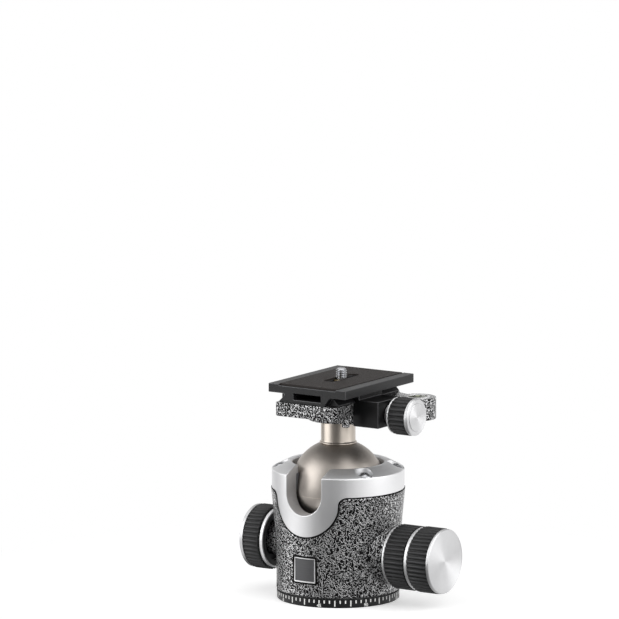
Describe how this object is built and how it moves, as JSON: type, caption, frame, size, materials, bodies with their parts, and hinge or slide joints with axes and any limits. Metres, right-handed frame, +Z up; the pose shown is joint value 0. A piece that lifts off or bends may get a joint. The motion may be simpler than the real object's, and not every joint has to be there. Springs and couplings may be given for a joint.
{
  "type": "center ball head",
  "caption": "Ball head with drop notch, coaxial lock and friction knobs, pan lock, dovetail clamp and quick-release plate, on a graduated panning base.",
  "frame": {"origin": "centre of the base's underside, at the mouth of the tripod thread", "axes": "+Z up through the stem, +X towards the lock and friction knob, -Y towards the drop notch and the badge"},
  "size_m": [0.129, 0.0764, 0.1324],
  "materials": {
    "black_anodised": "black anodised, fine satin",
    "hammertone": "cast aluminium in black and grey hammertone enamel",
    "satin_silver": "satin silver anodised",
    "ball_finish": "hard anodised, satin, warm grey",
    "steel": "machined steel",
    "brass": "machined brass",
    "rubber": "ribbed black rubber",
    "low_friction_plastic": "low-friction plastic",
    "dark_badge": "dark satin enamel on sheet aluminium",
    "vial": "clear vial with yellow-green fluid"
  },
  "bodies": {
    "base": {"base_disc": "black_anodised", "scale_ring": "black_anodised", "thread_insert": "steel", "retaining_ring": "steel"},
    "housing": {"body_shell": "hammertone", "bearing_ring": "brass", "pan_washer": "low_friction_plastic", "badge_frame": "satin_silver", "badge_plate": "dark_badge", "collar": "satin_silver", "collar_screws": "steel", "seat_ring": "low_friction_plastic", "lock_bush": "brass", "pan_bush": "brass"},
    "cup": {"ball_cup": "low_friction_plastic", "lift_plunger": "steel"},
    "wedge": {"lock_wedge": "steel"},
    "lock_knob": {"lock_hub": "satin_silver", "lock_grip": "rubber", "lock_cap": "satin_silver"},
    "friction_ring": {"friction_hub": "satin_silver", "friction_grip": "rubber", "spring_washers": "steel"},
    "pan_knob": {"pan_spindle": "steel", "pan_hub": "satin_silver", "pan_grip": "rubber", "pan_cap": "satin_silver"},
    "shoe": {"pan_shoe": "brass"},
    "ball": {"ball": "ball_finish"},
    "clamp": {"stem": "ball_finish", "clamp_bolt": "steel", "clamp_body": "hammertone", "guide_pins": "steel", "level_bezel": "satin_silver", "level_vial": "vial"},
    "jaw": {"moving_jaw": "black_anodised"},
    "clamp_knob": {"clamp_screw": "steel", "clamp_hub": "satin_silver", "clamp_grip": "rubber", "clamp_cap": "satin_silver"},
    "plate": {"plate_body": "black_anodised", "plate_pad": "rubber", "stop_screws": "steel"},
    "screw_slider": {"slot_guide": "brass"},
    "camera_screw": {"camera_screw": "steel"}
  },
  "joints": [
    {"name": "pan", "type": "hinge", "parent": "base", "child": "housing", "pos_m": [0, 0, 0], "axis": [0, 0, 1], "continuous": true},
    {"name": "lock_turn", "type": "hinge", "parent": "housing", "child": "lock_knob", "pos_m": [0, 0, 0.028], "axis": [1, 0, 0], "range_deg": [0, 300]},
    {"name": "wedge_slide", "type": "slide", "parent": "housing", "child": "wedge", "axis": [1, 0, 0], "range_m": [0, 0.00126]},
    {"name": "cup_slide", "type": "slide", "parent": "housing", "child": "cup", "axis": [0, 0, 1], "range_m": [-0.00032, 0]},
    {"name": "friction_turn", "type": "hinge", "parent": "housing", "child": "friction_ring", "pos_m": [0, 0, 0.028], "axis": [1, 0, 0], "range_deg": [0, 270]},
    {"name": "pan_lock_turn", "type": "hinge", "parent": "housing", "child": "pan_knob", "pos_m": [0, 0, 0.0301], "axis": [-1, 0, 0], "range_deg": [0, 270]},
    {"name": "shoe_slide", "type": "slide", "parent": "housing", "child": "shoe", "axis": [1, 0, 0], "range_m": [-0.00061, 0]},
    {"name": "tilt", "type": "hinge", "parent": "housing", "child": "ball", "pos_m": [0, 0, 0.0646], "axis": [1, 0, 0], "range_deg": [-38, 90]},
    {"name": "spin", "type": "hinge", "parent": "ball", "child": "clamp", "pos_m": [0, 0, 0.0646], "axis": [0, 0, 1], "continuous": true},
    {"name": "jaw_slide", "type": "slide", "parent": "clamp", "child": "jaw", "axis": [1, 0, 0], "range_m": [0, 0.00374]},
    {"name": "clamp_turn", "type": "hinge", "parent": "jaw", "child": "clamp_knob", "pos_m": [0, 0, 0.1094], "axis": [1, 0, 0], "range_deg": [0, 1080]},
    {"name": "plate_slide", "type": "slide", "parent": "clamp", "child": "plate", "axis": [0, 1, 0], "range_m": [-0.011, 0.0045]},
    {"name": "screw_slide", "type": "slide", "parent": "plate", "child": "screw_slider", "axis": [0, 1, 0], "range_m": [-0.01, 0.01]},
    {"name": "screw_turn", "type": "hinge", "parent": "screw_slider", "child": "camera_screw", "pos_m": [0, 0.0032, 0.126], "axis": [0, 0, 1], "continuous": true}
  ],
  "couplings": [
    {"joint": "wedge_slide", "follows": "lock_turn", "m_per_rad": 0.00023873},
    {"joint": "cup_slide", "follows": "lock_turn", "m_per_rad": -0.000059683},
    {"joint": "shoe_slide", "follows": "pan_lock_turn", "m_per_rad": -0.00012732},
    {"joint": "clamp_turn", "follows": "jaw_slide", "rad_per_m": 5026.5}
  ]
}
